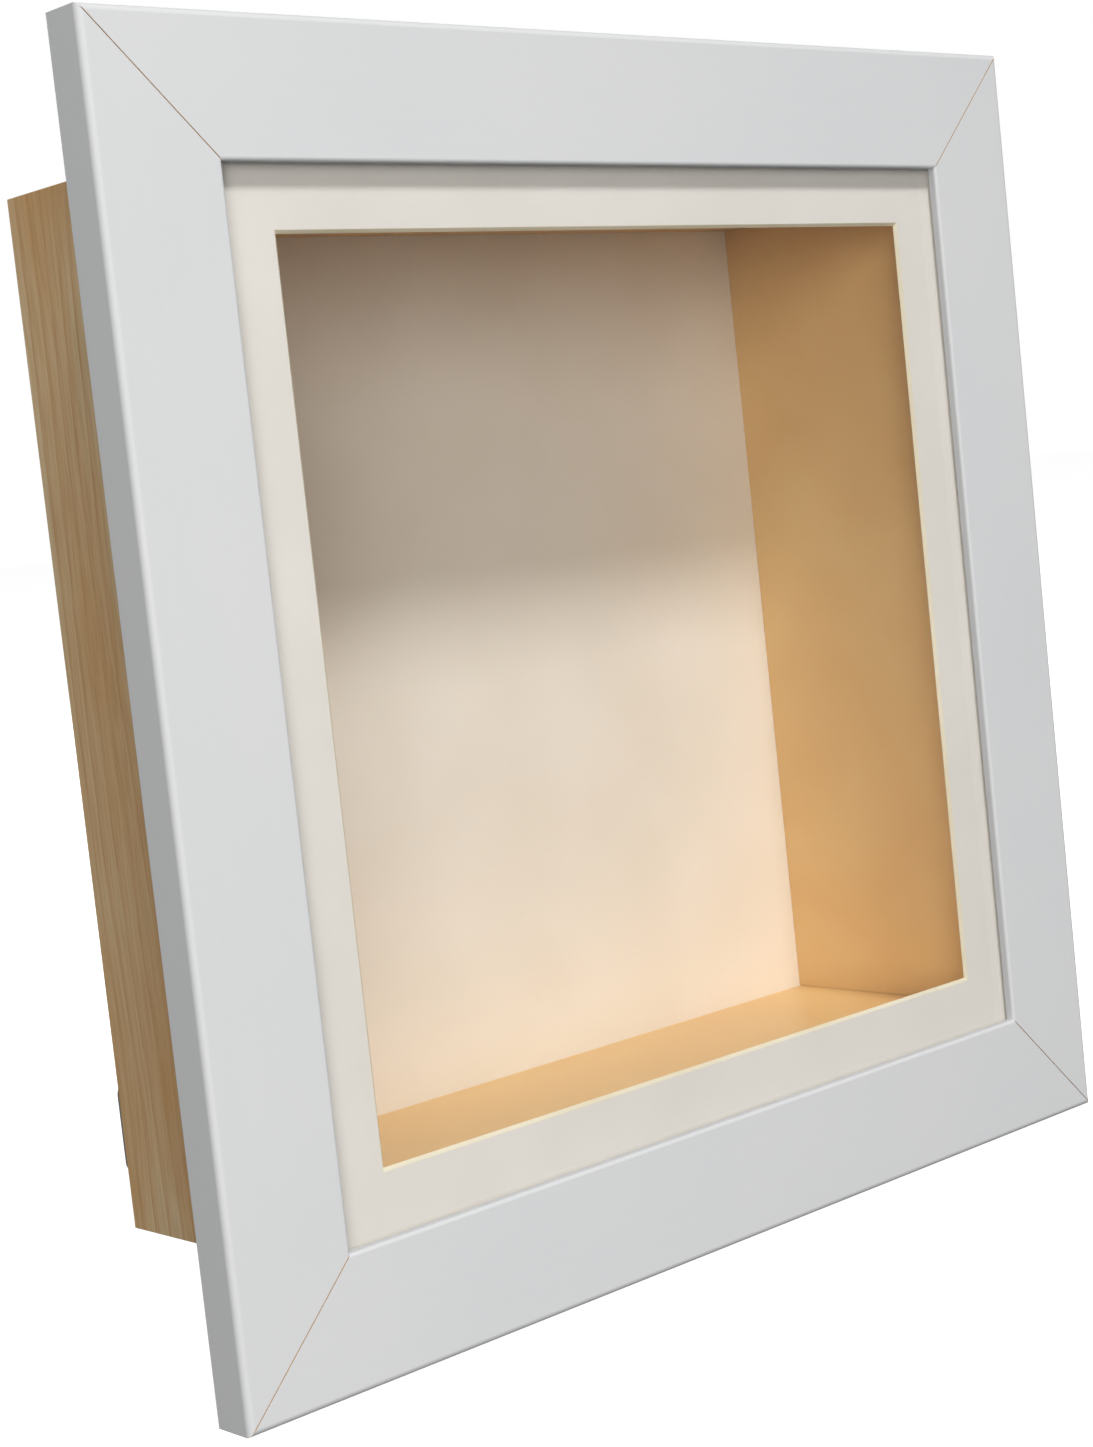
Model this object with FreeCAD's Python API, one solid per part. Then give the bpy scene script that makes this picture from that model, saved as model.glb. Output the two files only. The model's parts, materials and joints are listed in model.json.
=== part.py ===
import FreeCAD, Part
import math
import os
from FreeCAD import Vector

# Square shadow box: a mitred flat moulding, glazing and a window mat in front of a deep pine box, whose back panel
# is held by turn buttons. Millimetres, +Z up, front face towards -Y. Pieces are drawn with the front face on Y = 0
# and moved at the end, so that the origin is the bottom centre of the whole object.

# Front frame: four mitred lengths of flat moulding with a rebate behind the lip
frame_width = 305.0
frame_height = 305.0
rail_width = 32.0
rail_thickness = 12.0
lip_thickness = 2.5
rebate_width = 5.0
outer_round = 1.5
sight_round = 0.8

# Glazing and window mat, lying in the rebate
glazing_thickness = 2.0
glazing_clearance = 1.0
mat_thickness = 0.8
mat_reveal = 15.2

# Deep box of mitred pine boards, and the smooth boards that line it
box_clearance = 0.5
board_depth = 76.2
board_thickness = 8.5
liner_thickness = 2.0

# Back panel: a card on a hardboard sheet, stopped by the rear edges of the liners
card_thickness = 1.4
back_board_thickness = 3.0
panel_clearance = 0.5
panel_recess = 0.1

# V-nails across each mitre of the moulding
v_nail_sheet = 0.5
v_nail_leg = 4.5
v_nail_height = 7.0
v_nail_half_angle = 55.0
v_nail_insets = (9.0, 18.0)

# Headless pins: box to moulding, and board to board at the box's corners
pin_radius = 0.6
frame_pin_length = 15.0
frame_pin_spacing = 140.0
corner_pin_length = 20.0
corner_pin_inset = 18.0

# Turn buttons and their pan-head screws on the rear edges of the boards
button_length = 24.0
button_width = 7.5
button_thickness = 1.2
button_pivot_inset = 4.5
button_gap = 0.2
button_spacing = 140.0
side_button_rise = 32.0
button_ease = 0.25
pivot_clearance = 0.08
screw_radius = 1.45
screw_depth = 12.0
screw_tip = 3.0
head_radius = 2.8
head_height = 1.8
head_gap = 0.1
recess_width = 0.7
recess_length = 3.2
recess_depth = 0.9

# Sawtooth hanger and its two nails on the top board
hanger_length = 46.0
hanger_width = 8.0
hanger_sheet = 0.9
hanger_rise = 1.5
hanger_foot = 9.0
hanger_ramp = 2.0
tooth_pitch = 2.6
tooth_depth = 1.4
tooth_count = 7
nail_radius = 0.7
nail_depth = 10.0
nail_head_radius = 1.6
nail_head_height = 0.8

# Rubber bumpers on the rear edge of the bottom board
bumper_radius = 4.0
bumper_height = 3.5
bumper_round = 0.8
bumper_inset = 20.0

# Places that follow from the sizes above
half_width = frame_width / 2
half_height = frame_height / 2
middle = Vector(0, 0, half_height)
rebate_half = Vector(half_width - rail_width + rebate_width, 0, half_height - rail_width + rebate_width)
glazing_half = rebate_half - Vector(glazing_clearance, 0, glazing_clearance)
box_half = rebate_half - Vector(box_clearance, 0, box_clearance)
inside_half = box_half - Vector(board_thickness, 0, board_thickness)
clear_half = inside_half - Vector(liner_thickness, 0, liner_thickness)
land_half = box_half - Vector(board_thickness / 2, 0, board_thickness / 2)
panel_half = inside_half - Vector(panel_clearance, 0, panel_clearance)
window_half = Vector(half_width - rail_width - mat_reveal, 0, half_height - rail_width - mat_reveal)
mat_front = lip_thickness + glazing_thickness
box_front = mat_front + mat_thickness
box_rear = box_front + board_depth
card_front = box_rear - panel_recess - back_board_thickness - card_thickness
back_board_front = card_front + card_thickness
button_front = box_rear + button_gap
screw_seat = button_front + button_thickness + head_gap
total_depth = box_rear + max(bumper_height, screw_seat + head_height - box_rear, hanger_rise + hanger_sheet)

sides = ("top", "right", "bottom", "left")
back_axis = Vector(0, 1, 0)


def face_of(points):
    return Part.Face(Part.makePolygon(points + [points[0]]))


def lies_flat(side):
    return side in ("top", "bottom")


def along_and_across(half, side):
    # Half lengths along a side and from the middle out to it
    if lies_flat(side):
        return half.x, half.z
    return half.z, half.x


def on_side(shape, side):
    # A piece drawn along the top, round the middle, turned onto its own side
    turned = shape.copy()
    turned.rotate(Vector(0, 0, 0), back_axis, 90 * sides.index(side))
    turned.translate(middle)
    return turned


def mitred(section, half_length, outside):
    # A bar along X with 45 degree ends, half_length long each way at its outside edge
    bar = section.extrude(Vector(2 * half_length, 0, 0))
    bar.translate(Vector(-half_length, 0, 0))
    reach = total_depth
    # Nearly to the point where the two mitres would meet, which is deeper than any bar is wide
    depth = 0.95 * min(half_length, outside)
    wedge = face_of([
        Vector(-half_length, -reach, outside),
        Vector(half_length, -reach, outside),
        Vector(half_length - depth, -reach, outside - depth),
        Vector(depth - half_length, -reach, outside - depth),
    ])
    return bar.common(wedge.extrude(Vector(0, 3 * reach, 0)))


def quarter_round(start, end, centre):
    # An arc about centre from start to end, in the YZ plane
    radius = (start - centre).Length
    outward = (start + end) * 0.5 - centre
    outward.normalize()
    return Part.Arc(start, centre + outward * radius, end).toShape()


def rail_section(outside):
    sight = outside - rail_width
    rebate = sight + rebate_width
    corners = [
        Vector(0, outer_round, outside),
        Vector(0, rail_thickness, outside),
        Vector(0, rail_thickness, rebate),
        Vector(0, lip_thickness, rebate),
        Vector(0, lip_thickness, sight),
        Vector(0, sight_round, sight),
    ]
    face_in = Vector(0, 0, sight + sight_round)
    face_out = Vector(0, 0, outside - outer_round)
    edges = [Part.makeLine(a, b) for a, b in zip(corners, corners[1:])]
    edges.append(quarter_round(corners[-1], face_in, Vector(0, sight_round, sight + sight_round)))
    edges.append(Part.makeLine(face_in, face_out))
    edges.append(quarter_round(face_out, corners[0], Vector(0, outer_round, outside - outer_round)))
    return Part.Face(Part.Wire(edges))


def frame_rail(side):
    along, outside = along_and_across(Vector(half_width, 0, half_height), side)
    return on_side(mitred(rail_section(outside), along, outside), side)


def box_board(side):
    along, outside = along_and_across(box_half, side)
    inside = outside - board_thickness
    section = face_of([
        Vector(0, box_front, inside),
        Vector(0, box_front, outside),
        Vector(0, box_rear, outside),
        Vector(0, box_rear, inside),
    ])
    return on_side(mitred(section, along, outside), side)


def liner(side):
    # Top and bottom liners run the full width, and the side ones stand between them
    along, outside = along_and_across(inside_half, side)
    if not lies_flat(side):
        along -= liner_thickness
    corner = Vector(-along, box_front, outside - liner_thickness)
    return on_side(Part.makeBox(2 * along, card_front - box_front, liner_thickness, corner), side)


def sheet(half, front, thickness):
    corner = Vector(-half.x, front, half_height - half.z)
    return Part.makeBox(2 * half.x, thickness, 2 * half.z, corner)


def window_mat():
    # The window's bevel is 45 degrees and opens towards the front
    rings = []
    for y, grow in ((mat_front, mat_thickness), (box_front, 0.0)):
        x = window_half.x + grow
        z = window_half.z + grow
        points = [Vector(sx * x, y, half_height + sz * z) for sx, sz in ((-1, -1), (1, -1), (1, 1), (-1, 1))]
        rings.append(Part.makePolygon(points + [points[0]]))
    return sheet(glazing_half, mat_front, mat_thickness).cut(Part.makeLoft(rings, True, True))


def v_nail(sign_x, sign_z, inset):
    # A bent strip across the mitre, its point towards the outer corner
    tip = Vector(sign_x * (half_width - inset), rail_thickness, half_height + sign_z * (half_height - inset))
    outward = math.atan2(sign_z, sign_x)
    legs = []
    for turn in (-1, 1):
        heading = outward + math.pi + turn * math.radians(v_nail_half_angle)
        run = Vector(math.cos(heading), 0, math.sin(heading)) * v_nail_leg
        half_sheet = Vector(-math.sin(heading), 0, math.cos(heading)) * (v_nail_sheet / 2)
        strip = face_of([tip + half_sheet, tip + run + half_sheet, tip + run - half_sheet, tip - half_sheet])
        legs.append(strip.extrude(Vector(0, -v_nail_height, 0)))
    return legs[0].fuse(legs[1]).removeSplitter().Solids[0]


def corner_v_nails():
    return [v_nail(sx, sz, inset) for sx in (-1, 1) for sz in (-1, 1) for inset in v_nail_insets]


def frame_pins():
    # Driven outwards from inside the box, through its boards and into the moulding
    pins = []
    for side in sides:
        inside = along_and_across(inside_half, side)[1]
        for x in (-frame_pin_spacing / 2, frame_pin_spacing / 2):
            foot = Vector(x, (box_front + rail_thickness) / 2, inside)
            pins.append(on_side(Part.makeCylinder(pin_radius, frame_pin_length, foot), side))
    return pins


def box_corner_pins():
    # Driven through the top and bottom boards, across the mitre and into the side boards
    pins = []
    for sx in (-1, 1):
        for sz in (-1, 1):
            for y in (rail_thickness + corner_pin_inset, box_rear - corner_pin_inset):
                head = Vector(sx * land_half.x, y, half_height + sz * box_half.z)
                pins.append(Part.makeCylinder(pin_radius, corner_pin_length, head, Vector(0, 0, -sz)))
    return pins


def button_places():
    # Name, side and offset from the side's middle of each turn button; the side ones are low, near the corners
    places = []
    for side in sides:
        offsets = {"": side_button_rise - box_half.z}
        if lies_flat(side):
            offsets = {"_left": -button_spacing / 2, "_right": button_spacing / 2}
        for suffix, x in offsets.items():
            places.append((side + suffix, side, x))
    return places


def pivot_of(side, x):
    across = along_and_across(land_half, side)[1]
    if lies_flat(side):
        return Vector(x, 0, half_height + (across if side == "top" else -across))
    return Vector(across if side == "right" else -across, 0, half_height + x)


def turn_button(side, x):
    # An obround plate lying along the rear edge of its board, clear of the back panel
    radius = button_width / 2
    tail = radius - button_pivot_inset
    nose = button_length - button_pivot_inset - radius
    plate = Part.makeBox(nose - tail, button_thickness, button_width, Vector(tail, 0, -radius))
    ends = [Part.makeCylinder(radius, button_thickness, Vector(end, 0, 0), back_axis) for end in (tail, nose)]
    plate = plate.fuse(ends).removeSplitter()
    rear_edges = [edge for edge in plate.Edges if edge.BoundBox.YMin > button_thickness / 2]
    plate = plate.makeChamfer(button_ease, rear_edges)
    hole = Part.makeCylinder(screw_radius + pivot_clearance, button_thickness, Vector(0, 0, 0), back_axis)
    plate = plate.cut(hole)
    if not lies_flat(side):
        plate.rotate(Vector(0, 0, 0), back_axis, 90)
    elif x > 0:
        plate.rotate(Vector(0, 0, 0), back_axis, 180)
    plate.translate(pivot_of(side, x) + Vector(0, button_front, 0))
    return plate


def pan_head_screw(place):
    tip_end = box_rear - screw_depth + screw_tip
    shank = Part.makeCylinder(screw_radius, screw_seat - tip_end, place + Vector(0, tip_end, 0), back_axis)
    point = Part.makeCone(0, screw_radius, screw_tip, place + Vector(0, tip_end - screw_tip, 0), back_axis)
    head = Part.makeCylinder(head_radius, head_height, place + Vector(0, screw_seat, 0), back_axis)
    rim = [edge for edge in head.Edges if edge.BoundBox.YMin > screw_seat + head_height / 2]
    head = head.makeFillet(head_height / 2, rim)
    floor = screw_seat + head_height - recess_depth
    for long_x, long_z in ((recess_length, recess_width), (recess_width, recess_length)):
        corner = place + Vector(-long_x / 2, floor, -long_z / 2)
        head = head.cut(Part.makeBox(long_x, recess_depth, long_z, corner))
    return head.fuse([shank, point]).removeSplitter().Solids[0]


def turn_button_screws():
    return [pan_head_screw(pivot_of(side, x)) for _, side, x in button_places()]


def sawtooth_hanger():
    # A strip with flat feet, whose middle stands off the board and has teeth along its lower edge
    foot_end = hanger_length / 2 - hanger_foot
    profile = [(-hanger_length / 2, 0), (-foot_end, 0), (hanger_ramp - foot_end, hanger_rise)]
    profile += [(-x, y) for x, y in reversed(profile)]
    front = [Vector(x, box_rear + y, 0) for x, y in profile]
    rear = [point + Vector(0, hanger_sheet, 0) for point in reversed(front)]
    low = half_height + land_half.z - hanger_width / 2
    strip = face_of(front + rear).extrude(Vector(0, 0, hanger_width))
    strip.translate(Vector(0, 0, low))
    for index in range(tooth_count):
        x = (index - (tooth_count - 1) / 2) * tooth_pitch
        notch = face_of([
            Vector(x - tooth_pitch / 2, box_rear, low),
            Vector(x + tooth_pitch / 2, box_rear, low),
            Vector(x, box_rear, low + tooth_depth),
        ])
        strip = strip.cut(notch.extrude(Vector(0, hanger_rise + hanger_sheet, 0)))
    return strip


def hanger_nails():
    nails = []
    for sign in (-1, 1):
        x = sign * (hanger_length - hanger_foot) / 2
        place = Vector(x, box_rear - nail_depth, half_height + land_half.z)
        shank = Part.makeCylinder(nail_radius, nail_depth + hanger_sheet, place, back_axis)
        seat = place + Vector(0, nail_depth + hanger_sheet, 0)
        head = Part.makeCylinder(nail_head_radius, nail_head_height, seat, back_axis)
        nails.append(shank.fuse(head).removeSplitter().Solids[0])
    return nails


def bumper_pads():
    pads = []
    for sign in (-1, 1):
        place = Vector(sign * (box_half.x - bumper_inset), box_rear, half_height - land_half.z)
        pad = Part.makeCylinder(bumper_radius, bumper_height, place, back_axis)
        rim = [edge for edge in pad.Edges if edge.BoundBox.YMin > box_rear + bumper_height / 2]
        pads.append(pad.makeFillet(bumper_round, rim))
    return pads


def shadow_box():
    v_nails = corner_v_nails()
    frame_fixings = frame_pins()
    corner_fixings = box_corner_pins()
    screws = turn_button_screws()
    nails = hanger_nails()
    nodes = {}
    for side in sides:
        nodes["frame_rail_" + side] = frame_rail(side).cut(v_nails + frame_fixings)
        nodes["box_board_" + side] = box_board(side).cut(frame_fixings + corner_fixings + screws + nails)
        nodes["liner_" + side] = liner(side)
    for name, side, x in button_places():
        nodes["turn_button_" + name] = turn_button(side, x)
    nodes["glazing_sheet"] = sheet(glazing_half, lip_thickness, glazing_thickness)
    nodes["window_mat"] = window_mat()
    nodes["back_card"] = sheet(panel_half, card_front, card_thickness)
    nodes["back_board"] = sheet(panel_half, back_board_front, back_board_thickness)
    nodes["sawtooth_hanger"] = sawtooth_hanger().cut(nails)
    nodes["corner_v_nails"] = Part.makeCompound(v_nails)
    nodes["frame_pins"] = Part.makeCompound(frame_fixings)
    nodes["box_corner_pins"] = Part.makeCompound(corner_fixings)
    nodes["turn_button_screws"] = Part.makeCompound(screws)
    nodes["hanger_nails"] = Part.makeCompound(nails)
    nodes["bumper_pads"] = Part.makeCompound(bumper_pads())
    return nodes


os.makedirs("parts", exist_ok=True)
for node, made in shadow_box().items():
    solids = made.Solids
    shape = solids[0] if len(solids) == 1 else Part.makeCompound(solids)
    shape.translate(Vector(0, -total_depth / 2, 0))
    shape.exportStep("parts/" + node + ".step")
    print(node, len(solids), "solids", round(shape.Volume, 1), "mm3", "valid" if shape.isValid() else "NOT VALID")
print("total depth", round(total_depth, 3), "clear inside", round(2 * clear_half.x, 3), round(2 * clear_half.z, 3))
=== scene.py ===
import bpy
import json
import math
from mathutils import Matrix, Vector


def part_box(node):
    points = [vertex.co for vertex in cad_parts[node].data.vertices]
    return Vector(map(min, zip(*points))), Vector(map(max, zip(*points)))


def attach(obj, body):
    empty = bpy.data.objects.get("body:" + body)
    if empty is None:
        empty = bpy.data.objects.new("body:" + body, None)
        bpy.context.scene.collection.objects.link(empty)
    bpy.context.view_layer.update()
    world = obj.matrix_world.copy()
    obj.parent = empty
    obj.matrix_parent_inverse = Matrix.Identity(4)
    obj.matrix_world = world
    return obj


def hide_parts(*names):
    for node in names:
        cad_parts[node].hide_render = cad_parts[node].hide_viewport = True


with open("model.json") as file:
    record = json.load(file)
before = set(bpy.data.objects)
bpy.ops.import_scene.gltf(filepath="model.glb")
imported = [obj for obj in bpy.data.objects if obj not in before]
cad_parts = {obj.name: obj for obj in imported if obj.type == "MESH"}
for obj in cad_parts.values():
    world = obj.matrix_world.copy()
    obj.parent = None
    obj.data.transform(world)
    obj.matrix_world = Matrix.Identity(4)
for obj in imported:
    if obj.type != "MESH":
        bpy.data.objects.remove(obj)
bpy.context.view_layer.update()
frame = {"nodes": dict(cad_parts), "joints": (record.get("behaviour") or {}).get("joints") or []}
mm = 0.001
near = 0.01 * mm   # points closer than this count as one place
sides = ("top", "right", "bottom", "left")
backwards = Vector((0, 1, 0))


def toLinear(hexCode):
    # sRGB hex to linear RGBA
    channels = [int(hexCode[i:i + 2], 16) / 255 for i in (1, 3, 5)]
    return [c / 12.92 if c <= 0.04045 else ((c + 0.055) / 1.055) ** 2.4 for c in channels] + [1.0]


def addNode(tree, kind, settings={}, links={}):
    # adds a node, sets its properties, colour stops and sockets, and links other nodes' outputs into it
    node = tree.nodes.new(kind)
    for key, value in settings.items():
        if key == "stops":
            while len(node.color_ramp.elements) < len(value):
                node.color_ramp.elements.new(0.5)
            for element, (place, colour) in zip(node.color_ramp.elements, value):
                element.position = place
                element.color = toLinear(colour)
        elif hasattr(node, str(key)):
            setattr(node, key, value)
        else:
            node.inputs[key].default_value = value
    for socket, output in links.items():
        tree.links.new(output, node.inputs[socket])
    return node


def startMaterial(name):
    # an empty node tree, and the place on the piece that every pattern is drawn from
    material = bpy.data.materials.new(name)
    material.use_nodes = True
    material.node_tree.nodes.clear()
    return material, material.node_tree, addNode(material.node_tree, "ShaderNodeTexCoord").outputs["Object"]


def endMaterial(tree, settings, links):
    shader = addNode(tree, "ShaderNodeBsdfPrincipled", settings, links)
    addNode(tree, "ShaderNodeOutputMaterial", {}, {"Surface": shader.outputs["BSDF"]})


def deselectAll():
    if bpy.context.object and bpy.context.object.mode != "OBJECT":
        bpy.ops.object.mode_set(mode="OBJECT")
    bpy.ops.object.select_all(action="DESELECT")


def addBlock(name, low, high):
    # a block between two corners, with its place already in its mesh
    deselectAll()
    bpy.ops.mesh.primitive_cube_add(size=1, location=(Vector(low) + Vector(high)) / 2)
    block = bpy.context.object
    block.name = block.data.name = name
    block.scale = Vector(high) - Vector(low)
    bpy.ops.object.transform_apply(location=True, rotation=True, scale=True)
    return block


def startEdit(piece):
    deselectAll()
    bpy.context.view_layer.objects.active = piece
    piece.select_set(True)
    bpy.ops.object.mode_set(mode="EDIT")
    bpy.ops.mesh.select_mode(type="FACE")
    bpy.ops.mesh.select_all(action="DESELECT")


def pickFaces(piece, wanted):
    # selects the faces for which wanted(centre, normal) is true
    bpy.ops.object.mode_set(mode="OBJECT")
    for polygon in piece.data.polygons:
        polygon.select = bool(wanted(polygon.center, polygon.normal))
    bpy.ops.object.mode_set(mode="EDIT")


def pickEdges(piece, wanted):
    # selects the edges for which wanted(one end, other end) is true
    bpy.ops.mesh.select_mode(type="EDGE")
    bpy.ops.object.mode_set(mode="OBJECT")
    points = piece.data.vertices
    for polygon in piece.data.polygons:
        polygon.select = False
    for point in points:
        point.select = False
    for edge in piece.data.edges:
        edge.select = bool(wanted(points[edge.vertices[0]].co, points[edge.vertices[1]].co))
    bpy.ops.object.mode_set(mode="EDIT")


def bevelPicked(width, segments):
    bpy.ops.mesh.bevel(offset=width, segments=segments, affect="EDGES", profile=0.5)


def finishPiece(piece, materials, body, nodes, smoothAngle=35):
    # closes the edit, smooths it, gives it its finish and ties it to its CAD body
    deselectAll()
    bpy.context.view_layer.objects.active = piece
    piece.select_set(True)
    bpy.ops.object.transform_apply(location=True, rotation=True, scale=True)
    bpy.ops.object.shade_smooth_by_angle(angle=math.radians(smoothAngle))
    for polygon in piece.data.polygons:
        if max(abs(part) for part in polygon.normal) > 0.9999:
            polygon.use_smooth = False   # the rounds beside a flat face don't bend its shading
    for material in materials:
        if material.name not in piece.data.materials:
            piece.data.materials.append(material)
    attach(piece, body)
    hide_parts(*nodes)
    return piece


def copyTurned(piece, name, quarters, centre):
    # its own mesh, turned by quarter turns about the depth axis through centre
    twin = piece.copy()
    twin.data = piece.data.copy()
    twin.name = twin.data.name = name
    bpy.context.collection.objects.link(twin)
    turn = Matrix.Rotation(math.radians(90 * quarters), 4, backwards)
    twin.data.transform(Matrix.Translation(centre) @ turn @ Matrix.Translation(-centre))
    return twin


def copyMoved(piece, name, offset, degrees):
    # its own mesh, turned about the depth axis through the world origin and then moved
    twin = piece.copy()
    twin.data = piece.data.copy()
    twin.name = twin.data.name = name
    bpy.context.collection.objects.link(twin)
    turn = Matrix.Rotation(math.radians(degrees), 4, backwards)
    twin.data.transform(Matrix.Translation(offset) @ turn)
    return twin


def joinPieces(pieces, name):
    deselectAll()
    for piece in pieces:
        piece.select_set(True)
    bpy.context.view_layer.objects.active = pieces[0]
    bpy.ops.object.join()
    joined = bpy.context.object
    joined.name = joined.data.name = name
    return joined


def paintFaces(piece, index, wanted):
    for polygon in piece.data.polygons:
        if wanted(polygon.center, polygon.normal):
            polygon.material_index = index


foilSizes = {"streakWidth": 2.0 * mm, "streakLength": 30 * mm, "cloud": 60 * mm, "dimple": 0.6 * mm,
             "dimpleDepth": 0.02 * mm}


def whiteFoilFinish(name, alongX):
    # matt white paper foil wrapped round a moulding: even, with a cool cast that is painted skylight,
    # and a faint lengthwise print and an eggshell sheen
    material, tree, place = startMaterial(name)
    squash = foilSizes["streakWidth"] / foilSizes["streakLength"]
    lengthwise = addNode(tree, "ShaderNodeMapping", {"Scale": (squash, 1, 1) if alongX else (1, 1, squash)},
                         {"Vector": place})
    streaks = addNode(tree, "ShaderNodeTexNoise", {"Scale": 1 / foilSizes["streakWidth"], "Detail": 3.0},
                      {"Vector": lengthwise.outputs["Vector"]})
    cloud = addNode(tree, "ShaderNodeTexNoise", {"Scale": 1 / foilSizes["cloud"], "Detail": 2.0},
                    {"Vector": place})
    both = addNode(tree, "ShaderNodeMix", {"Factor": 0.25},
                   {"A": cloud.outputs["Fac"], "B": streaks.outputs["Fac"]})
    # the blue-grey cast of these stops is painted skylight laid into the foil's white
    tint = addNode(tree, "ShaderNodeValToRGB", {"stops": [(0.35, "#dde1e6"), (0.65, "#e0e3e8")]},
                   {"Fac": both.outputs["Result"]})
    dimples = addNode(tree, "ShaderNodeTexNoise", {"Scale": 1 / foilSizes["dimple"], "Detail": 1.0},
                      {"Vector": place})
    bump = addNode(tree, "ShaderNodeBump", {"Strength": 0.12, "Distance": foilSizes["dimpleDepth"]},
                   {"Height": dimples.outputs["Fac"]})
    endMaterial(tree, {"Roughness": 0.46, "IOR": 1.46},
                {"Base Color": tint.outputs["Color"], "Normal": bump.outputs["Normal"]})
    return material


fibreSizes = {"cloud": 45 * mm, "fuzz": 0.12 * mm}


def fibreboardFinish(name, light, dark, speck):
    # bare pressed wood fibre: speckled brown, fuzzy to the touch and without any shine
    material, tree, place = startMaterial(name)
    fine = addNode(tree, "ShaderNodeTexNoise", {"Scale": 1 / speck, "Detail": 4.0, "Roughness": 0.7},
                   {"Vector": place})
    broad = addNode(tree, "ShaderNodeTexNoise", {"Scale": 1 / fibreSizes["cloud"], "Detail": 3.0},
                    {"Vector": place})
    both = addNode(tree, "ShaderNodeMix", {"Factor": 0.25},
                   {"A": fine.outputs["Fac"], "B": broad.outputs["Fac"]})
    tint = addNode(tree, "ShaderNodeValToRGB", {"stops": [(0.36, dark), (0.62, light)]},
                   {"Fac": both.outputs["Result"]})
    bump = addNode(tree, "ShaderNodeBump", {"Strength": 0.25, "Distance": fibreSizes["fuzz"]},
                   {"Height": fine.outputs["Fac"]})
    endMaterial(tree, {"Roughness": 0.72},
                {"Base Color": tint.outputs["Color"], "Normal": bump.outputs["Normal"]})
    return material


# ring is the width of one year's growth, waver how far a ring strays, and bend the length it strays over;
# the pores are drawn coarser than the 0.2 mm of real pine, so that they show at all
pineSizes = {"ring": 5.0 * mm, "waver": 16 * mm, "bend": 45 * mm, "patch": 38 * mm, "pore": 0.7 * mm,
             "poreLength": 20 * mm, "poreDepth": 0.05 * mm}


def pineFinish(name, heart, turned, offset):
    # planed pine: pale early wood, orange late-wood lines, amber patches, and pores along the grain
    # heart is the tree's centre, which lies beside the board, so the rings are cut as long lines
    material, tree, place = startMaterial(name)
    upright = addNode(tree, "ShaderNodeMapping", {"Location": offset, "Rotation": turned},
                      {"Vector": place})
    waverSpace = addNode(tree, "ShaderNodeMapping", {"Scale": (1, 1, 0.22)},
                         {"Vector": upright.outputs["Vector"]})
    waver = addNode(tree, "ShaderNodeTexNoise",
                    {"Scale": 1 / pineSizes["bend"], "Detail": 2.0, "Roughness": 0.45},
                    {"Vector": waverSpace.outputs["Vector"]})
    bent = addNode(tree, "ShaderNodeVectorMath", {"operation": "MULTIPLY_ADD", 1: (pineSizes["waver"],) * 3},
                   {0: waver.outputs["Color"], 2: upright.outputs["Vector"]})
    ringSpace = addNode(tree, "ShaderNodeMapping", {"Location": heart, "Scale": (1, 1, 0.10)},
                        {"Vector": bent.outputs["Vector"]})
    # a wave texture at scale 1 runs through 20 radians to the metre
    rings = addNode(tree, "ShaderNodeTexWave",
                    {"wave_type": "RINGS", "rings_direction": "SPHERICAL", "wave_profile": "SAW",
                     "Scale": math.tau / (20 * pineSizes["ring"]), "Distortion": 1.4,
                     "Detail": 2.0, "Detail Scale": 1.4},
                    {"Vector": ringSpace.outputs["Vector"]})
    ringTint = addNode(tree, "ShaderNodeValToRGB",
                       {"stops": [(0.0, "#edd6ae"), (0.55, "#e6cba1"), (0.84, "#dab584"), (0.95, "#cc9f70"),
                                  (1.0, "#ead1a8")]}, {"Fac": rings.outputs["Fac"]})
    patchSpace = addNode(tree, "ShaderNodeMapping", {"Scale": (1, 1, 0.3)},
                         {"Vector": upright.outputs["Vector"]})
    patches = addNode(tree, "ShaderNodeTexNoise", {"Scale": 1 / pineSizes["patch"], "Detail": 3.0},
                      {"Vector": patchSpace.outputs["Vector"]})
    # the late wood is strong in some places and nearly lost in others
    fading = addNode(tree, "ShaderNodeMapRange", {"From Min": 0.35, "From Max": 0.62, "To Max": 0.85},
                     {"Value": patches.outputs["Fac"]})
    faded = addNode(tree, "ShaderNodeMix", {"data_type": "RGBA", "B": toLinear("#e6cba1")},
                    {"Factor": fading.outputs["Result"], "A": ringTint.outputs["Color"]})
    patchTint = addNode(tree, "ShaderNodeValToRGB", {"stops": [(0.46, "#ffffff"), (0.70, "#efc583")]},
                        {"Fac": patches.outputs["Fac"]})
    tinted = addNode(tree, "ShaderNodeMix", {"data_type": "RGBA", "blend_type": "MULTIPLY", "Factor": 0.75},
                     {"A": faded.outputs["Result"], "B": patchTint.outputs["Color"]})
    poreSpace = addNode(tree, "ShaderNodeMapping",
                        {"Scale": (1, 1, pineSizes["pore"] / pineSizes["poreLength"])},
                        {"Vector": bent.outputs["Vector"]})
    pores = addNode(tree, "ShaderNodeTexNoise", {"Scale": 1 / pineSizes["pore"], "Detail": 2.0},
                    {"Vector": poreSpace.outputs["Vector"]})
    poreTint = addNode(tree, "ShaderNodeValToRGB", {"stops": [(0.35, "#d9c3a4"), (0.55, "#ffffff")]},
                       {"Fac": pores.outputs["Fac"]})
    pored = addNode(tree, "ShaderNodeMix", {"data_type": "RGBA", "blend_type": "MULTIPLY", "Factor": 0.35},
                    {"A": tinted.outputs["Result"], "B": poreTint.outputs["Color"]})
    bump = addNode(tree, "ShaderNodeBump", {"Strength": 0.25, "Distance": pineSizes["poreDepth"]},
                   {"Height": pores.outputs["Fac"]})
    endMaterial(tree, {"Roughness": 0.55},
                {"Base Color": pored.outputs["Result"], "Normal": bump.outputs["Normal"]})
    return material


linerSizes = {"cloud": 60 * mm, "unevenness": 0.25 * mm, "ease": 0.2 * mm}


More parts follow.
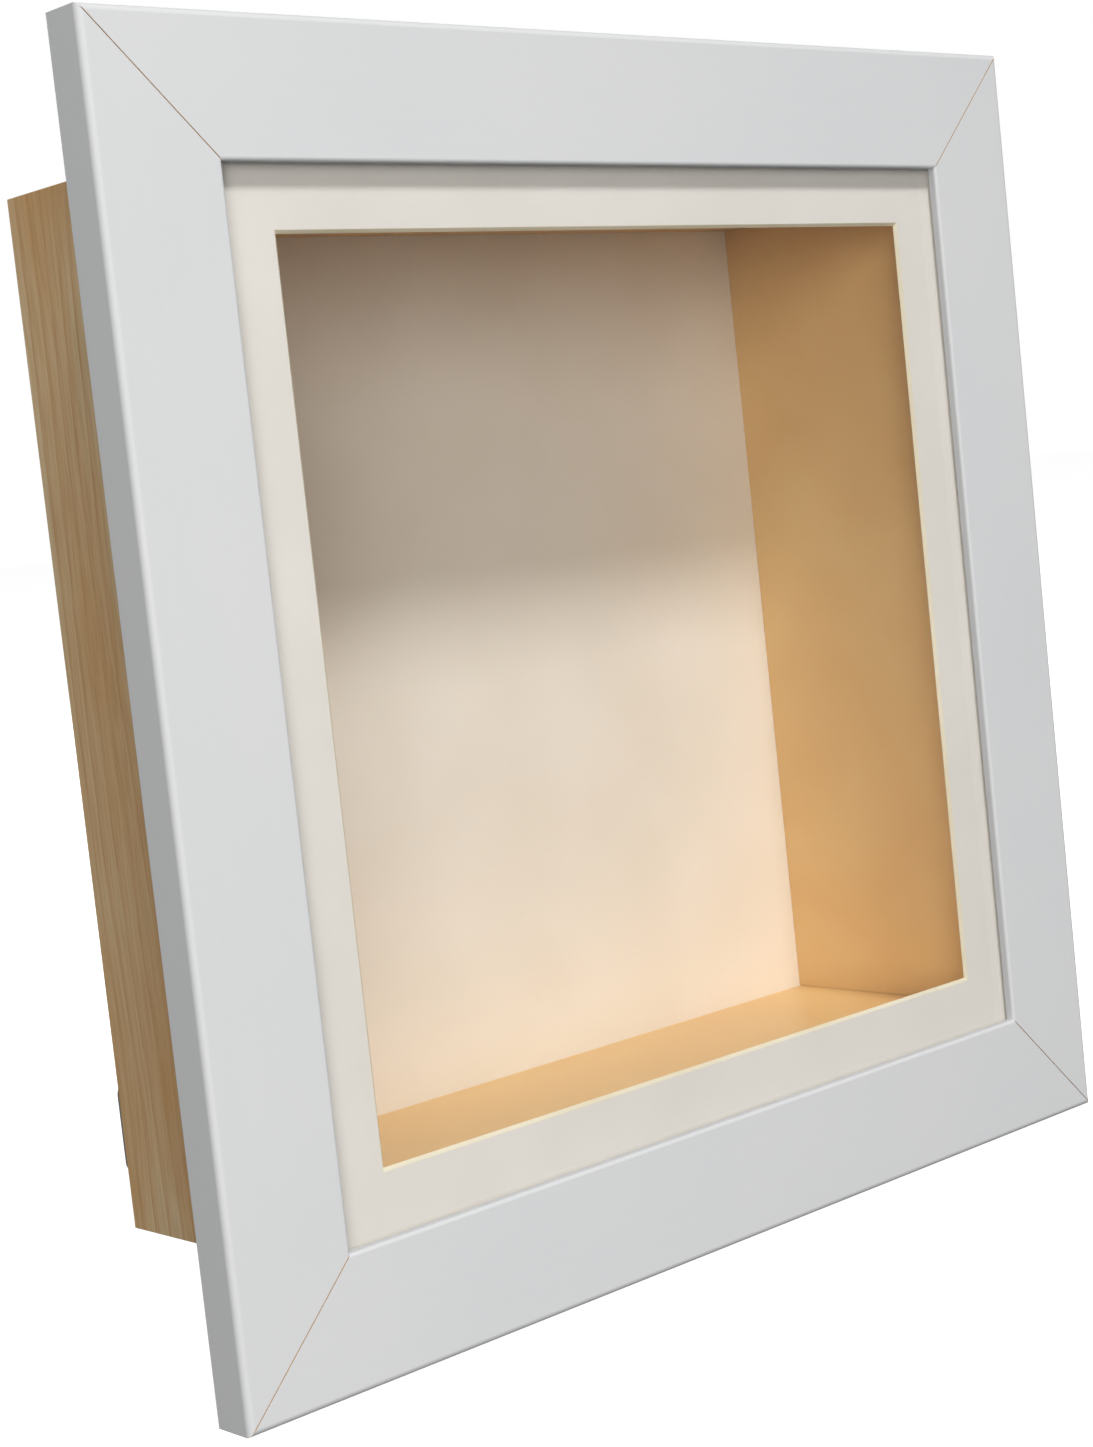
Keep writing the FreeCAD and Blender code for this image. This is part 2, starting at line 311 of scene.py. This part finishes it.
def tanBoardFinish(name):
    # smooth sealed board: an even tan, with a waxy sheen that shows the board is not quite flat
    material, tree, place = startMaterial(name)
    cloud = addNode(tree, "ShaderNodeTexNoise",
                    {"Scale": 1 / linerSizes["cloud"], "Detail": 3.0, "Distortion": 1.5},
                    {"Vector": place})
    tint = addNode(tree, "ShaderNodeValToRGB", {"stops": [(0.3, "#e4bc80"), (0.7, "#e9c68c")]},
                   {"Fac": cloud.outputs["Fac"]})
    sheen = addNode(tree, "ShaderNodeMapRange", {"To Min": 0.30, "To Max": 0.46},
                    {"Value": cloud.outputs["Fac"]})
    bump = addNode(tree, "ShaderNodeBump", {"Strength": 0.12, "Distance": linerSizes["unevenness"]},
                   {"Height": cloud.outputs["Fac"]})
    endMaterial(tree, {"IOR": 1.48},
                {"Base Color": tint.outputs["Color"], "Roughness": sheen.outputs["Result"],
                 "Normal": bump.outputs["Normal"]})
    return material


paperSizes = {"cloud": 40 * mm, "toothDepth": 0.06 * mm}


def paperFinish(name, light, dark, fibre, roughness):
    # uncoated board: dry and soft, with the fine tooth of paper fibre and the faintest clouding
    material, tree, place = startMaterial(name)
    tooth = addNode(tree, "ShaderNodeTexNoise", {"Scale": 1 / fibre, "Detail": 3.0}, {"Vector": place})
    cloud = addNode(tree, "ShaderNodeTexNoise", {"Scale": 1 / paperSizes["cloud"], "Detail": 4.0},
                    {"Vector": place})
    tint = addNode(tree, "ShaderNodeValToRGB", {"stops": [(0.35, dark), (0.65, light)]},
                   {"Fac": cloud.outputs["Fac"]})
    bump = addNode(tree, "ShaderNodeBump", {"Strength": 0.22, "Distance": paperSizes["toothDepth"]},
                   {"Height": tooth.outputs["Fac"]})
    endMaterial(tree, {"Roughness": roughness},
                {"Base Color": tint.outputs["Color"], "Normal": bump.outputs["Normal"]})
    return material


platingSizes = {"spangle": 2.9 * mm, "roughness": 0.02 * mm}


def metalFinish(name, light, dark, roughness):
    # plated or drawn steel: pale grey metal, clouded by its plating, with a soft broken shine
    material, tree, place = startMaterial(name)
    plating = addNode(tree, "ShaderNodeTexNoise", {"Scale": 1 / platingSizes["spangle"], "Detail": 4.0},
                      {"Vector": place})
    tint = addNode(tree, "ShaderNodeValToRGB", {"stops": [(0.35, dark), (0.65, light)]},
                   {"Fac": plating.outputs["Fac"]})
    blur = addNode(tree, "ShaderNodeMapRange", {"To Min": roughness - 0.08, "To Max": roughness + 0.1},
                   {"Value": plating.outputs["Fac"]})
    bump = addNode(tree, "ShaderNodeBump", {"Strength": 0.08, "Distance": platingSizes["roughness"]},
                   {"Height": plating.outputs["Fac"]})
    endMaterial(tree, {"Metallic": 1.0},
                {"Base Color": tint.outputs["Color"], "Roughness": blur.outputs["Result"],
                 "Normal": bump.outputs["Normal"]})
    return material


glassSizes = {"ripple": 80 * mm, "rippleDepth": 0.01 * mm}


def glazingFinish(name):
    # clear picture glass: seen only by its reflections and a slight cooling of what lies behind
    material, tree, place = startMaterial(name)
    ripple = addNode(tree, "ShaderNodeTexNoise", {"Scale": 1 / glassSizes["ripple"], "Detail": 1.0},
                     {"Vector": place})
    bump = addNode(tree, "ShaderNodeBump", {"Strength": 0.05, "Distance": glassSizes["rippleDepth"]},
                   {"Height": ripple.outputs["Fac"]})
    endMaterial(tree, {"Base Color": toLinear("#fdfefe"), "Roughness": 0.0, "IOR": 1.5,
                       "Transmission Weight": 1.0},
                {"Normal": bump.outputs["Normal"]})
    return material


rubberSizes = {"grain": 1.1 * mm, "grainDepth": 0.05 * mm}


def rubberFinish(name):
    # moulded rubber: charcoal and dull, with the fine grain of its mould
    material, tree, place = startMaterial(name)
    grain = addNode(tree, "ShaderNodeTexNoise", {"Scale": 1 / rubberSizes["grain"], "Detail": 2.0},
                    {"Vector": place})
    tint = addNode(tree, "ShaderNodeValToRGB", {"stops": [(0.3, "#2c2c2d"), (0.7, "#38383a")]},
                   {"Fac": grain.outputs["Fac"]})
    bump = addNode(tree, "ShaderNodeBump", {"Strength": 0.3, "Distance": rubberSizes["grainDepth"]},
                   {"Height": grain.outputs["Fac"]})
    endMaterial(tree, {"Roughness": 0.62},
                {"Base Color": tint.outputs["Color"], "Normal": bump.outputs["Normal"]})
    return material


quarterTurn = math.radians(90)
whiteFoilLevel = whiteFoilFinish("whitePaperFoilLevel", True)
whiteFoilUpright = whiteFoilFinish("whitePaperFoilUpright", False)
mouldingCore = fibreboardFinish("bareFibreboard", "#c6a67c", "#a8875d", 0.9 * mm)
hardboard = fibreboardFinish("brownHardboard", "#8d6643", "#7a5334", 0.7 * mm)
pineUprightLeft = pineFinish("planedPineLeft", (0.100, 0.030, -0.045), (0, 0, 0), (0, 0, 0.30))
pineUprightRight = pineFinish("planedPineRight", (-0.130, 0.020, 0), (0, 0, 0), (0, 0, 0.95))
pineLevelTop = pineFinish("planedPineTop", (0.290, 0.010, 0), (0, quarterTurn, 0), (0, 0, 0.55))
pineLevelBottom = pineFinish("planedPineBottom", (0.020, -0.015, 0), (0, quarterTurn, 0), (0, 0, 0.10))
tanBoard = tanBoardFinish("sealedTanBoard")
matPaper = paperFinish("offWhiteMatPaper", "#faf7f3", "#f6f3ee", 0.35 * mm, 0.85)
matCore = paperFinish("creamMatCore", "#fbf6e2", "#f2ebd2", 0.25 * mm, 0.90)
whiteCard = paperFinish("whiteCard", "#fbf6ee", "#f6f0e6", 0.45 * mm, 0.80)
zincSteel = metalFinish("zincPlatedSteel", "#d3d4d2", "#b3b5b6", 0.34)
drawnSteel = metalFinish("drawnSteelWire", "#bdbdbd", "#9c9d9f", 0.42)
glazingGlass = glazingFinish("clearPictureGlass")
rubberPad = rubberFinish("mouldedRubber")
print("finishes made")


railSizes = {"lip": 2.5 * mm, "rebate": 5.0 * mm, "outerRound": 1.5 * mm, "sightRound": 0.8 * mm,
             "backRound": 0.3 * mm, "mitreEase": 0.13 * mm, "mitreSlope": 0.707, "longEdge": 100 * mm}


def isLong(a, b):
    return abs(a.x - b.x) > railSizes["longEdge"]


def makeTopRail():
    low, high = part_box("frame_rail_top")
    rail = addBlock("frameRailTop", low, (high.x, low.y + railSizes["lip"], high.z))
    lipBack = low.y + railSizes["lip"]
    rebateZ = low.z + railSizes["rebate"]
    startEdit(rail)
    bpy.ops.mesh.select_all(action="SELECT")
    bpy.ops.mesh.bisect(plane_co=(0, 0, rebateZ), plane_no=(0, 0, 1))
    pickFaces(rail, lambda c, n: n.y > 0.9 and c.z > rebateZ)
    bpy.ops.mesh.extrude_region_move(TRANSFORM_OT_translate={"value": (0, high.y - lipBack, 0)})
    bpy.ops.mesh.select_all(action="SELECT")
    bpy.ops.mesh.remove_doubles(threshold=near)
    pickEdges(rail, lambda a, b: isLong(a, b) and max(a.y, b.y) < low.y + near
              and min(a.z, b.z) > high.z - near)
    bevelPicked(railSizes["outerRound"], 6)
    pickEdges(rail, lambda a, b: isLong(a, b) and max(a.y, b.y) < low.y + near
              and max(a.z, b.z) < low.z + near)
    bevelPicked(railSizes["sightRound"], 4)
    pickEdges(rail, lambda a, b: isLong(a, b) and min(a.y, b.y) > high.y - near
              and min(a.z, b.z) > high.z - near)
    bevelPicked(railSizes["backRound"], 2)
    for sign in (-1, 1):
        bpy.ops.mesh.select_all(action="SELECT")
        bpy.ops.mesh.bisect(plane_co=(sign * high.x, 0, high.z), plane_no=(sign, 0, -1), use_fill=True,
                            clear_outer=True)
    bpy.ops.mesh.select_all(action="SELECT")
    bpy.ops.mesh.normals_make_consistent(inside=False)
    # a hair of a chamfer along both mitres, which is what shows as a fine line at each corner
    for sign in (-1, 1):
        bpy.ops.mesh.select_all(action="SELECT")
        bpy.ops.mesh.bisect(plane_co=(sign * high.x, low.y + 2 * railSizes["mitreEase"], high.z),
                            plane_no=(sign, -railSizes["mitreSlope"], -1), use_fill=True, clear_outer=True)
    bpy.ops.object.mode_set(mode="OBJECT")
    return rail


def onMitre(point, high):
    return abs(high.x - abs(point.x) - (high.z - point.z)) < near


def makeFrameRails():
    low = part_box("frame_rail_top")[0]
    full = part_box("frame_rail_left")
    centre = Vector((0, 0, (full[0].z + full[1].z) / 2))
    first = makeTopRail()
    rails = [first] + [copyTurned(first, "frameRail" + side.capitalize(), index, centre)
                       for index, side in enumerate(sides) if index]
    for rail, side in zip(rails, sides):
        foil = whiteFoilUpright if side in ("left", "right") else whiteFoilLevel
        rail.data.materials.append(foil)
        rail.data.materials.append(mouldingCore)
        # the foil is wrapped round the face and both edges: the back, the rebate and the mitre cuts are bare
        paintFaces(rail, 1, lambda c, n: n.y > 0.8 or min(abs(n.x), abs(n.z)) > 0.5
                   or c.y > low.y + railSizes["lip"] - near and isInward(c, n, centre))
        finishPiece(rail, [], "case", ["frame_rail_" + side])


def isInward(centre, normal, middle):
    return (centre - middle).dot(Vector((normal.x, 0, normal.z))) < 0


makeFrameRails()
print("frame rails made")


glazingSizes = {"air": 0.06 * mm, "ease": 0.15 * mm}   # air is the hair of room each side of the sheet
matSizes = {"opening": 105.3 * mm, "ease": 0.06 * mm}


def makeGlazing():
    low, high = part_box("glazing_sheet")
    air = Vector((0, glazingSizes["air"], 0))
    pane = addBlock("glazingSheet", low + air, high - air)
    startEdit(pane)
    bpy.ops.mesh.select_all(action="SELECT")
    bevelPicked(glazingSizes["ease"], 1)
    finishPiece(pane, [glazingGlass], "case", ["glazing_sheet"])
    pane.visible_shadow = False   # lamps shine through clear glass


def makeWindowMat():
    # the window is cut at 45 degrees, so the core shows as a cream line all round it
    low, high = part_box("window_mat")
    opening = matSizes["opening"]
    depth = high.y - low.y
    mat = addBlock("windowMat", low, high)
    startEdit(mat)
    pickFaces(mat, lambda c, n: n.y < -0.9)
    bpy.ops.mesh.inset(thickness=high.x - opening - depth, depth=0)
    bpy.ops.mesh.select_all(action="DESELECT")
    pickFaces(mat, lambda c, n: n.y > 0.9)
    bpy.ops.mesh.inset(thickness=high.x - opening, depth=0)
    middle = (low.z + high.z) / 2
    pickFaces(mat, lambda c, n: abs(n.y) > 0.9 and abs(c.x) < 0.1 * mm and abs(c.z - middle) < 0.1 * mm)
    bpy.ops.mesh.bridge_edge_loops()
    reach = opening + depth
    pickEdges(mat, lambda a, b: atWindow(a, middle, reach) and atWindow(b, middle, reach)
              and max(a.y, b.y) < low.y + near)
    bevelPicked(matSizes["ease"], 2)
    bpy.ops.object.mode_set(mode="OBJECT")
    mat.data.materials.append(matPaper)
    mat.data.materials.append(matCore)
    paintFaces(mat, 1, lambda c, n: abs(n.y) < 0.95)
    finishPiece(mat, [], "case", ["window_mat"], smoothAngle=20)


def atWindow(point, middle, reach):
    return max(abs(point.x), abs(point.z - middle)) < reach + near


makeGlazing()
makeWindowMat()
print("glazing and mat made")


boardFinishes = {"top": pineLevelTop, "right": pineUprightRight, "bottom": pineLevelBottom,
                 "left": pineUprightLeft}
boardSizes = {"ease": 0.35 * mm, "jointEase": 0.08 * mm}


def makeBoxBoards():
    low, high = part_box("box_board_top")
    board = addBlock("boxBoardTop", low, high)
    startEdit(board)
    for sign in (-1, 1):
        bpy.ops.mesh.select_all(action="SELECT")
        bpy.ops.mesh.bisect(plane_co=(sign * high.x, 0, high.z), plane_no=(sign, 0, -1), use_fill=True,
                            clear_outer=True)
    pickEdges(board, lambda a, b: min(a.z, b.z) > high.z - near and min(a.y, b.y) > high.y - near
              or min(a.y, b.y) > high.y - near and max(a.z, b.z) < low.z + near)
    bevelPicked(boardSizes["ease"], 2)
    pickEdges(board, lambda a, b: onMitre(a, high) and onMitre(b, high))
    bevelPicked(boardSizes["jointEase"], 1)
    bpy.ops.object.mode_set(mode="OBJECT")
    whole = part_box("box_board_left")
    centre = Vector((0, 0, (whole[0].z + whole[1].z) / 2))
    twins = [copyTurned(board, "boxBoard" + side.capitalize(), index, centre) if index else board
             for index, side in enumerate(sides)]
    for twin, side in zip(twins, sides):
        finishPiece(twin, [boardFinishes[side]], "case", ["box_board_" + side])


def makeLiners():
    for side in sides:
        low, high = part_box("liner_" + side)
        strip = addBlock("liner" + side.capitalize(), low, high)
        startEdit(strip)
        bpy.ops.mesh.select_all(action="SELECT")
        bevelPicked(linerSizes["ease"], 2)
        finishPiece(strip, [tanBoard], "case", ["liner_" + side])


panelSizes = {"cardEase": 0.15 * mm, "boardEase": 0.3 * mm}


def makeBackPanel():
    for node, name, material, slot, ease in (
            ("back_card", "backCard", whiteCard, "white_card", panelSizes["cardEase"]),
            ("back_board", "backBoard", hardboard, "hardboard", panelSizes["boardEase"])):
        low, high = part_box(node)
        sheet = addBlock(name, low, high)
        startEdit(sheet)
        bpy.ops.mesh.select_all(action="SELECT")
        bevelPicked(ease, 2)
        finishPiece(sheet, [material], "back_panel", [node])


makeBoxBoards()
makeLiners()
makeBackPanel()
print("box, lining and back panel made")


buttonSizes = {"length": 24.0 * mm, "width": 7.5 * mm, "pivotInset": 4.5 * mm, "hole": 1.53 * mm,
               "dome": 0.25 * mm, "gripRadius": 3.2 * mm, "gripInset": 1.0 * mm, "gripDepth": 0.35 * mm}
# tip is how much of the screw is left off deep inside the board, and lap sets the shank into its head
screwSizes = {"shank": 1.45 * mm, "head": 2.8 * mm, "headHeight": 1.8 * mm, "crossLength": 3.2 * mm,
              "crossWidth": 0.7 * mm, "crossDepth": 0.9 * mm, "tip": 3 * mm, "lap": 0.2 * mm,
              "firstTurn": 17.0, "nextTurn": 31.0}


def cutWith(piece, cutter):
    deselectAll()
    bpy.context.view_layer.objects.active = piece
    piece.select_set(True)
    change = piece.modifiers.new("cut", "BOOLEAN")
    change.operation = "DIFFERENCE"
    change.solver = "EXACT"
    change.object = cutter
    bpy.ops.object.modifier_apply(modifier="cut")
    bpy.data.objects.remove(cutter)


def addDisc(name, radius, low, high, x=0.0, z=0.0, vertices=40):
    # a round bar along the depth axis from low to high
    deselectAll()
    bpy.ops.mesh.primitive_cylinder_add(vertices=vertices, radius=radius, depth=high - low,
                                        location=(x, (low + high) / 2, z), rotation=(math.radians(90), 0, 0))
    disc = bpy.context.object
    disc.name = disc.data.name = name
    bpy.ops.object.transform_apply(location=True, rotation=True, scale=True)
    return disc


def makeTurnButton():
    # a pressed plate, drawn with its pivot at the origin and its nose along +X
    low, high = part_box("turn_button_top_left")
    thick = high.y - low.y
    radius = buttonSizes["width"] / 2
    tail = radius - buttonSizes["pivotInset"]
    nose = buttonSizes["length"] - buttonSizes["pivotInset"] - radius
    plate = addDisc("turnButton", radius, 0, thick, x=tail, vertices=48)
    startEdit(plate)
    bpy.ops.mesh.select_all(action="SELECT")
    bpy.ops.mesh.bisect(plane_co=(tail, 0, 0), plane_no=(1, 0, 0))
    # half of the round end is carried along to the nose, which leaves straight sides between
    bpy.ops.mesh.select_all(action="DESELECT")
    bpy.ops.mesh.select_mode(type="VERT")
    bpy.ops.object.mode_set(mode="OBJECT")
    for point in plate.data.vertices:
        point.select = point.co.x > tail + near
    bpy.ops.object.mode_set(mode="EDIT")
    bpy.ops.transform.translate(value=(nose - tail, 0, 0))
    bpy.ops.object.mode_set(mode="OBJECT")
    startEdit(plate)
    pickEdges(plate, lambda a, b: min(a.y, b.y) > thick - near and not onSeam(a, b, tail))
    bevelPicked(buttonSizes["dome"], 3)
    bpy.ops.object.mode_set(mode="OBJECT")
    cutWith(plate, addDisc("hole", buttonSizes["hole"], -thick, 2 * thick))
    # a shallow grip dimple pressed near the nose
    lift = buttonSizes["gripRadius"] - buttonSizes["gripDepth"]
    deselectAll()
    bpy.ops.mesh.primitive_uv_sphere_add(segments=32, ring_count=16, radius=buttonSizes["gripRadius"],
                                         location=(nose - buttonSizes["gripInset"], thick + lift, 0))
    cutWith(plate, bpy.context.object)
    return plate, low.y


def onSeam(a, b, tail):
    return abs(a.x - tail) < near and abs(b.x - tail) < near


def makeTurnButtons():
    plate, height = makeTurnButton()
    for joint in frame["joints"]:
        if not joint["name"].startswith("turn_"):
            continue
        place = joint["name"][len("turn_"):]
        node = "turn_button_" + place
        pivot = joint["pos_m"]
        low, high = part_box(node)
        reach = (low + high) / 2 - Vector(pivot)
        degrees = -math.degrees(math.atan2(reach.z, reach.x))
        name = "turnButton" + place.title().replace("_", "")
        twin = copyMoved(plate, name, Vector((pivot[0], height, pivot[2])), degrees)
        finishPiece(twin, [zincSteel], "button_" + place, [node])
    bpy.data.objects.remove(plate)


def makeScrews():
    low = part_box("turn_button_screws")[0].y
    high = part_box("turn_button_screws")[1].y
    seat = high - screwSizes["headHeight"]
    head = addDisc("screw", screwSizes["head"], seat, high)
    startEdit(head)
    pickEdges(head, lambda a, b: min(a.y, b.y) > high - near)
    bevelPicked(screwSizes["headHeight"] * 0.5, 5)
    bpy.ops.object.mode_set(mode="OBJECT")
    for turn in (0, 90):
        half = Vector((screwSizes["crossLength"] / 2, 0, screwSizes["crossWidth"] / 2))
        cutDepth = high - screwSizes["crossDepth"]
        arm = addBlock("arm", (-half.x, cutDepth, -half.z), (half.x, high + mm, half.z))
        arm.data.transform(Matrix.Rotation(math.radians(turn), 4, backwards))
        cutWith(head, arm)
    shank = addDisc("shank", screwSizes["shank"], low + screwSizes["tip"], seat + screwSizes["lap"],
                    vertices=24)
    screw = joinPieces([head, shank], "screw")
    # each cross is left at its own angle
    pivots = [joint["pos_m"] for joint in frame["joints"] if joint["name"].startswith("turn_")]
    copies = [copyMoved(screw, "screwCopy", Vector((pivot[0], 0, pivot[2])),
                        screwSizes["firstTurn"] + screwSizes["nextTurn"] * count)
              for count, pivot in enumerate(pivots)]
    bpy.data.objects.remove(screw)
    screws = joinPieces(copies, "turnButtonScrews")
    finishPiece(screws, [zincSteel], "case", ["turn_button_screws"])


bumperSizes = {"round": 0.8 * mm}


def makeBumpers():
    low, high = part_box("bumper_pads")
    radius = (high.z - low.z) / 2
    pads = []
    for x in (low.x + radius, high.x - radius):
        pad = addDisc("bumper", radius, low.y, high.y, x=x, z=(low.z + high.z) / 2, vertices=48)
        startEdit(pad)
        pickEdges(pad, lambda a, b: min(a.y, b.y) > high.y - near)
        bevelPicked(bumperSizes["round"], 5)
        pads.append(pad)
    finishPiece(joinPieces(pads, "bumperPads"), [rubberPad], "case", ["bumper_pads"])


def keepCadNode(node, material):
    # a CAD node whose shape is already right only gets its finish
    piece = frame["nodes"][node]
    piece.data.materials.clear()
    piece.data.materials.append(material)


makeTurnButtons()
makeScrews()
makeBumpers()
keepCadNode("sawtooth_hanger", zincSteel)
for node in ("corner_v_nails", "frame_pins", "box_corner_pins", "hanger_nails"):
    keepCadNode(node, drawnSteel)
print("fittings made")


stageSizes = {"floor": 80.0, "fibre": 0.8 * mm, "fibreDepth": 0.02 * mm, "glow": 0.80}


def makeStage():
    # matt white paper: it catches the object's shadow but throws no light back up
    material, tree, place = startMaterial("whitePaperFloor")
    tooth = addNode(tree, "ShaderNodeTexNoise", {"Scale": 1 / stageSizes["fibre"], "Detail": 2.0},
                    {"Vector": place})
    bump = addNode(tree, "ShaderNodeBump", {"Strength": 0.05, "Distance": stageSizes["fibreDepth"]},
                   {"Height": tooth.outputs["Fac"]})
    endMaterial(tree, {"Base Color": toLinear("#fbfbfb"), "Roughness": 0.9,
                       "Emission Color": toLinear("#ffffff"),
                       "Emission Strength": stageSizes["glow"]}, {"Normal": bump.outputs["Normal"]})
    deselectAll()
    bpy.ops.mesh.primitive_plane_add(size=stageSizes["floor"], location=(0, 0, 0))
    floor = bpy.context.object
    floor.name = "paleFloor"
    floor.data.materials.append(material)
    floor.visible_diffuse = False
    floor.visible_glossy = False   # nor does it mirror in the glazing or shine through it
    floor.visible_transmission = False


# keyHigh and keySide are the key's angles above and to the right of straight ahead of the front;
# aim is the height that every lamp points at, and the places are measured from there
lightSizes = {"key": 215.0, "keyHigh": 53.0, "keySide": -8.0, "keyAway": 6.0, "keySize": 1.0,
              "fill": 18.0, "fillSize": 1.2, "back": 16.0, "backSize": 1.6, "room": 0.19, "sweep": 1.0,
              "aim": 0.15, "fillPlace": (-1.1, -1.4, 0.25), "backPlace": (0.6, 2.2, 1.1)}


def addLamp(name, place, power, colour, size):
    # a round soft box that points at the middle of the object
    middle = Vector((0, 0, lightSizes["aim"]))
    data = bpy.data.lights.new(name, "AREA")
    data.shape = "DISK"
    data.size = size
    data.energy = power
    data.color = toLinear(colour)[:3]
    lamp = bpy.data.objects.new(name, data)
    bpy.context.collection.objects.link(lamp)
    lamp.location = middle + place
    lamp.rotation_euler = (-place).to_track_quat("-Z", "Y").to_euler()
    lamp.visible_transmission = False   # the pane casts no shadow, so this light already gets through
    lamp.visible_glossy = name == "backFill"   # the front lamps don't mirror in the glazing


def makeLight():
    high, side = math.radians(lightSizes["keyHigh"]), math.radians(lightSizes["keySide"])
    keyPlace = Vector((math.sin(side) * math.cos(high), -math.cos(side) * math.cos(high), math.sin(high)))
    # from above the front, so the top edges shade the mat and the head of the back card
    addLamp("keyLight", lightSizes["keyAway"] * keyPlace, lightSizes["key"], "#fffcf8",
            lightSizes["keySize"])
    addLamp("frontFill", Vector(lightSizes["fillPlace"]), lightSizes["fill"], "#fffaf2",
            lightSizes["fillSize"])
    addLamp("backFill", Vector(lightSizes["backPlace"]), lightSizes["back"], "#ffffff",
            lightSizes["backSize"])
    world = bpy.data.worlds.new("whiteSurround")
    bpy.context.scene.world = world
    world.use_nodes = True
    world.node_tree.nodes.clear()
    # white where it is seen, and dimmer as the light of the room
    rays = addNode(world.node_tree, "ShaderNodeLightPath")
    strength = addNode(world.node_tree, "ShaderNodeMapRange",
                       {"To Min": lightSizes["room"], "To Max": lightSizes["sweep"]},
                       {"Value": rays.outputs["Is Camera Ray"]})
    surround = addNode(world.node_tree, "ShaderNodeBackground", {"Color": toLinear("#ffffff")},
                       {"Strength": strength.outputs["Result"]})
    addNode(world.node_tree, "ShaderNodeOutputWorld", {}, {"Surface": surround.outputs["Background"]})


# side, away and up are in widths of the front from the middle of its face, and the last three are degrees
cameraSizes = {"lens": 63.2, "width": 0.305, "side": -1.4669, "away": -1.4739, "up": 0.1353,
               "azimuth": 41.81, "down": 5.03, "roll": 6.18}


def makeCamera():
    azimuth = math.radians(cameraSizes["azimuth"])
    down = math.radians(cameraSizes["down"])
    roll = math.radians(cameraSizes["roll"])
    forward = Vector((math.sin(azimuth) * math.cos(down), math.cos(azimuth) * math.cos(down),
                      -math.sin(down)))
    levelRight = Vector((math.cos(azimuth), -math.sin(azimuth), 0))
    levelUp = levelRight.cross(forward)
    right = levelRight * math.cos(roll) - levelUp * math.sin(roll)
    up = levelUp * math.cos(roll) + levelRight * math.sin(roll)
    low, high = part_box("frame_rail_left")
    faceCentre = Vector((0, low.y, (low.z + high.z) / 2))
    reach = Vector((cameraSizes["side"], cameraSizes["away"], cameraSizes["up"]))
    place = faceCentre + cameraSizes["width"] * reach
    data = bpy.data.cameras.new("mainCamera")
    data.lens = cameraSizes["lens"]
    data.sensor_width = 36
    camera = bpy.data.objects.new("mainCamera", data)
    bpy.context.collection.objects.link(camera)
    turned = Matrix((right, up, -forward)).transposed()
    camera.matrix_world = Matrix.Translation(place) @ turned.to_4x4()
    bpy.context.scene.camera = camera


makeStage()
makeLight()
makeCamera()
bpy.context.scene.view_settings.view_transform = "Standard"
print("stage, light and camera set")
